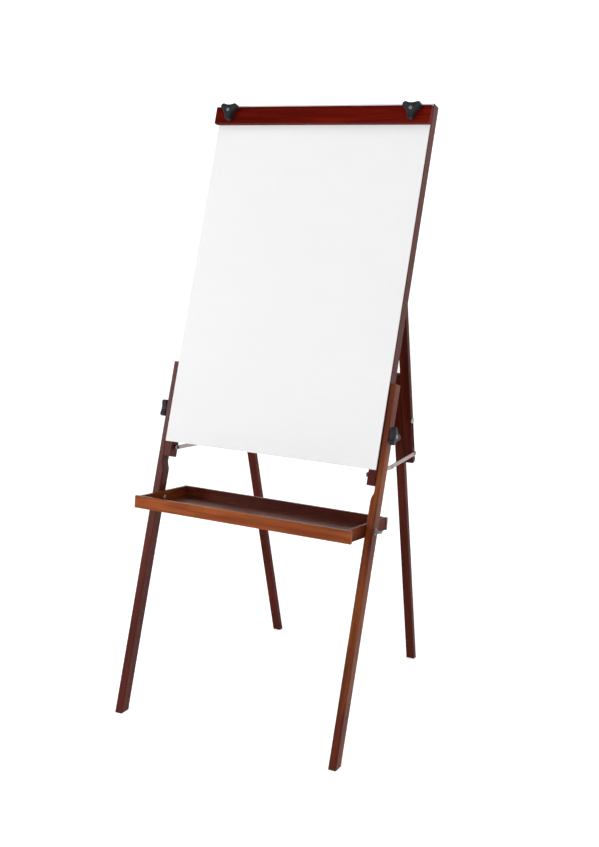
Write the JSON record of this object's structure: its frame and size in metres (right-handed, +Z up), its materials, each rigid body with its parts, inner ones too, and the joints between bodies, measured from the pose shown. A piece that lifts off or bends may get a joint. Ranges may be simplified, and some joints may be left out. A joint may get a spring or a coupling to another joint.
{
  "type": "folding flipchart easel",
  "caption": "Stained wooden flipchart easel with a white board, a screwed clamp bar for the pad, a pen tray, telescoping legs and a folding rear frame held open by stays.",
  "frame": {"origin": "middle of the footprint, on the floor", "axes": "+Z up; the board faces -Y and leans back towards +Y; the easel is mirrored about X = 0"},
  "size_m": [0.776, 0.7902, 1.7621],
  "materials": {
    "upright_wood": "glossy reddish-brown stain, grain upright",
    "leg_wood": "glossy reddish-brown stain, grain upright",
    "cross_wood": "glossy reddish-brown stain, grain across",
    "bar_wood": "glossy dark red stain, grain across",
    "rear_wood": "glossy reddish-brown stain, grain upright",
    "tray_wood": "glossy reddish-brown stain, grain across",
    "tray_end_wood": "glossy reddish-brown stain, grain front to back",
    "tray_floor_wood": "satin stained plywood",
    "dowel_wood": "plain turned hardwood",
    "panel_laminate": "smooth white laminate writing surface over hardboard",
    "bolt_steel": "zinc plated",
    "insert_steel": "turned, zinc plated",
    "nail_steel": "dull wire",
    "wing_nut_steel": "zinc plated",
    "stay_steel": "zinc plated, slightly dull",
    "knob_plastic": "moulded black, fine texture",
    "foot_plastic": "dark, matt"
  },
  "bodies": {
    "board_frame": {"right_stile": "upright_wood", "left_stile": "upright_wood", "top_rail": "cross_wood", "middle_rail": "cross_wood", "bottom_rail": "cross_wood", "rail_dowels": "dowel_wood", "writing_panel": "panel_laminate", "clamp_bolts": "bolt_steel", "pivot_screws": "bolt_steel", "stay_front_screws": "bolt_steel"},
    "clamp_bar": {"clamp_bar": "bar_wood"},
    "front_legs": {"right_front_leg": "leg_wood", "left_front_leg": "leg_wood", "front_foot_pads": "foot_plastic", "front_leg_bolts": "bolt_steel"},
    "tray": {"tray_front_board": "tray_wood", "tray_back_board": "tray_wood", "right_tray_end": "tray_end_wood", "left_tray_end": "tray_end_wood", "tray_floor": "tray_floor_wood", "tray_nails": "nail_steel", "tray_bolts": "bolt_steel", "tray_washers": "bolt_steel"},
    "rear_frame": {"right_rear_board": "rear_wood", "left_rear_board": "rear_wood", "rear_cross_rail": "cross_wood", "rear_rail_dowels": "dowel_wood", "stay_rear_screws": "bolt_steel", "stay_rear_washers": "bolt_steel"},
    "right_clamp_knob": {"right_clamp_knob": "knob_plastic", "right_clamp_knob_insert": "insert_steel"},
    "right_front_leg_knob": {"right_front_leg_knob": "knob_plastic", "right_front_leg_knob_insert": "insert_steel"},
    "right_wing_nut": {"right_wing_nut": "wing_nut_steel"},
    "right_rear_leg": {"right_rear_leg": "rear_wood", "right_rear_foot_pad": "foot_plastic", "right_rear_leg_bolt": "bolt_steel"},
    "right_rear_leg_knob": {"right_rear_leg_knob": "knob_plastic", "right_rear_leg_knob_insert": "insert_steel"},
    "right_front_stay": {"right_front_stay": "stay_steel", "right_front_stay_rivet": "stay_steel"},
    "right_rear_stay": {"right_rear_stay": "stay_steel", "right_rear_stay_rivet": "stay_steel"},
    "left_clamp_knob": {"left_clamp_knob": "knob_plastic", "left_clamp_knob_insert": "insert_steel"},
    "left_front_leg_knob": {"left_front_leg_knob": "knob_plastic", "left_front_leg_knob_insert": "insert_steel"},
    "left_wing_nut": {"left_wing_nut": "wing_nut_steel"},
    "left_rear_leg": {"left_rear_leg": "rear_wood", "left_rear_foot_pad": "foot_plastic", "left_rear_leg_bolt": "bolt_steel"},
    "left_rear_leg_knob": {"left_rear_leg_knob": "knob_plastic", "left_rear_leg_knob_insert": "insert_steel"},
    "left_front_stay": {"left_front_stay": "stay_steel", "left_front_stay_rivet": "stay_steel"},
    "left_rear_stay": {"left_rear_stay": "stay_steel", "left_rear_stay_rivet": "stay_steel"}
  },
  "joints": [
    {"name": "clamp_bar_slide", "type": "slide", "parent": "board_frame", "child": "clamp_bar", "axis": [0, -0.9421, 0.3355], "range_m": [0, 0.006]},
    {"name": "front_legs_slide", "type": "slide", "parent": "board_frame", "child": "front_legs", "axis": [0, -0.3355, -0.9421], "range_m": [0, 0.085]},
    {"name": "tray_tilt", "type": "hinge", "parent": "front_legs", "child": "tray", "pos_m": [0, -0.16095, 0.60986], "axis": [1, 0, 0], "range_deg": [-80, 58]},
    {"name": "rear_frame_fold", "type": "hinge", "parent": "board_frame", "child": "rear_frame", "pos_m": [0, 0.10091, 1.34077], "axis": [1, 0, 0], "range_deg": [-19.5, 0]},
    {"name": "right_clamp_knob_turn", "type": "hinge", "parent": "clamp_bar", "child": "right_clamp_knob", "pos_m": [0.299, 0.21637, 1.73062], "axis": [0, -0.9421, 0.3355], "continuous": true},
    {"name": "right_front_leg_knob_turn", "type": "hinge", "parent": "front_legs", "child": "right_front_leg_knob", "pos_m": [0.367, -0.07159, 0.86082], "axis": [1, 0, 0], "continuous": true},
    {"name": "right_wing_nut_turn", "type": "hinge", "parent": "tray", "child": "right_wing_nut", "pos_m": [0.367, -0.16095, 0.60986], "axis": [1, 0, 0], "continuous": true},
    {"name": "right_rear_leg_slide", "type": "slide", "parent": "rear_frame", "child": "right_rear_leg", "axis": [-0.0209, 0.2079, -0.9779], "range_m": [0, 0.085]},
    {"name": "right_rear_leg_knob_turn", "type": "hinge", "parent": "right_rear_leg", "child": "right_rear_leg_knob", "pos_m": [0.31252, 0.20692, 0.84202], "axis": [-0.9998, -0.0044, 0.0205], "continuous": true},
    {"name": "right_front_stay_swing", "type": "hinge", "parent": "board_frame", "child": "right_front_stay", "pos_m": [0.325, -0.10808, 0.75387], "axis": [1, 0, 0], "range_deg": [0, 61.99]},
    {"name": "right_rear_stay_swing", "type": "hinge", "parent": "rear_frame", "child": "right_rear_stay", "pos_m": [0.325, 0.2296, 0.7353], "axis": [1, 0, 0], "range_deg": [-59.81, 0]},
    {"name": "left_clamp_knob_turn", "type": "hinge", "parent": "clamp_bar", "child": "left_clamp_knob", "pos_m": [-0.299, 0.21637, 1.73062], "axis": [0, -0.9421, 0.3355], "continuous": true},
    {"name": "left_front_leg_knob_turn", "type": "hinge", "parent": "front_legs", "child": "left_front_leg_knob", "pos_m": [-0.367, -0.07159, 0.86082], "axis": [-1, 0, 0], "continuous": true},
    {"name": "left_wing_nut_turn", "type": "hinge", "parent": "tray", "child": "left_wing_nut", "pos_m": [-0.367, -0.16095, 0.60986], "axis": [-1, 0, 0], "continuous": true},
    {"name": "left_rear_leg_slide", "type": "slide", "parent": "rear_frame", "child": "left_rear_leg", "axis": [0.0209, 0.2079, -0.9779], "range_m": [0, 0.085]},
    {"name": "left_rear_leg_knob_turn", "type": "hinge", "parent": "left_rear_leg", "child": "left_rear_leg_knob", "pos_m": [-0.31252, 0.20692, 0.84202], "axis": [0.9998, -0.0044, 0.0205], "continuous": true},
    {"name": "left_front_stay_swing", "type": "hinge", "parent": "board_frame", "child": "left_front_stay", "pos_m": [-0.325, -0.10808, 0.75387], "axis": [1, 0, 0], "range_deg": [0, 61.99]},
    {"name": "left_rear_stay_swing", "type": "hinge", "parent": "rear_frame", "child": "left_rear_stay", "pos_m": [-0.325, 0.2296, 0.7353], "axis": [1, 0, 0], "range_deg": [-59.81, 0]}
  ],
  "couplings": [
    {"joint": "right_front_stay_swing", "follows": "rear_frame_fold", "ratio": -3.1785},
    {"joint": "right_rear_stay_swing", "follows": "rear_frame_fold", "ratio": 3.0667},
    {"joint": "left_front_stay_swing", "follows": "rear_frame_fold", "ratio": -3.1785},
    {"joint": "left_rear_stay_swing", "follows": "rear_frame_fold", "ratio": 3.0667}
  ]
}
